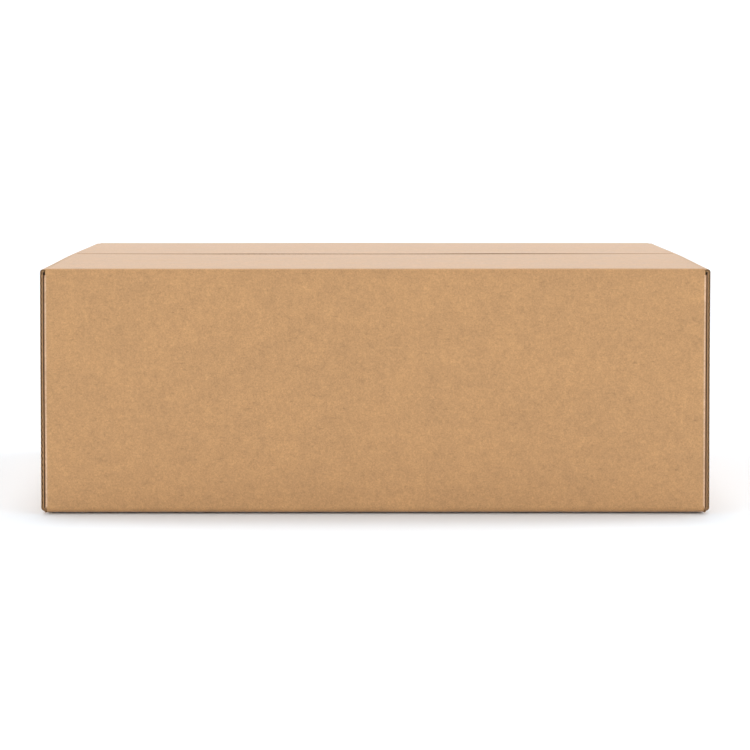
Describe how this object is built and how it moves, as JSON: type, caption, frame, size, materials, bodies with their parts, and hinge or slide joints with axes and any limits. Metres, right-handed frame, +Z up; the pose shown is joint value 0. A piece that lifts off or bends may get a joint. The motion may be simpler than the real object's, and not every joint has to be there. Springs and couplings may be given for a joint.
{
  "type": "cardboard box",
  "caption": "Closed low shipping box folded from one sheet of fine-flute corrugated board, with long top flaps that meet along the middle over short inner flaps.",
  "frame": {"origin": "middle of the underside that the box stands on", "axes": "+X along the box's length, +Y from the front wall to the back wall, +Z up"},
  "size_m": [0.355, 0.25, 0.1295],
  "materials": {
    "kraft_board": "plain brown kraft liner, matt, with fine fibre flecks"
  },
  "bodies": {
    "box": {"box_body": "kraft_board"},
    "front_flap": {"front_top_flap": "kraft_board"},
    "back_flap": {"back_top_flap": "kraft_board"}
  },
  "joints": [
    {"name": "front_flap_fold", "type": "hinge", "parent": "box", "child": "front_flap", "pos_m": [0, -0.125, 0.1295], "axis": [1, 0, 0], "range_deg": [0, 265]},
    {"name": "back_flap_fold", "type": "hinge", "parent": "box", "child": "back_flap", "pos_m": [0, 0.125, 0.1295], "axis": [-1, 0, 0], "range_deg": [0, 265]}
  ]
}
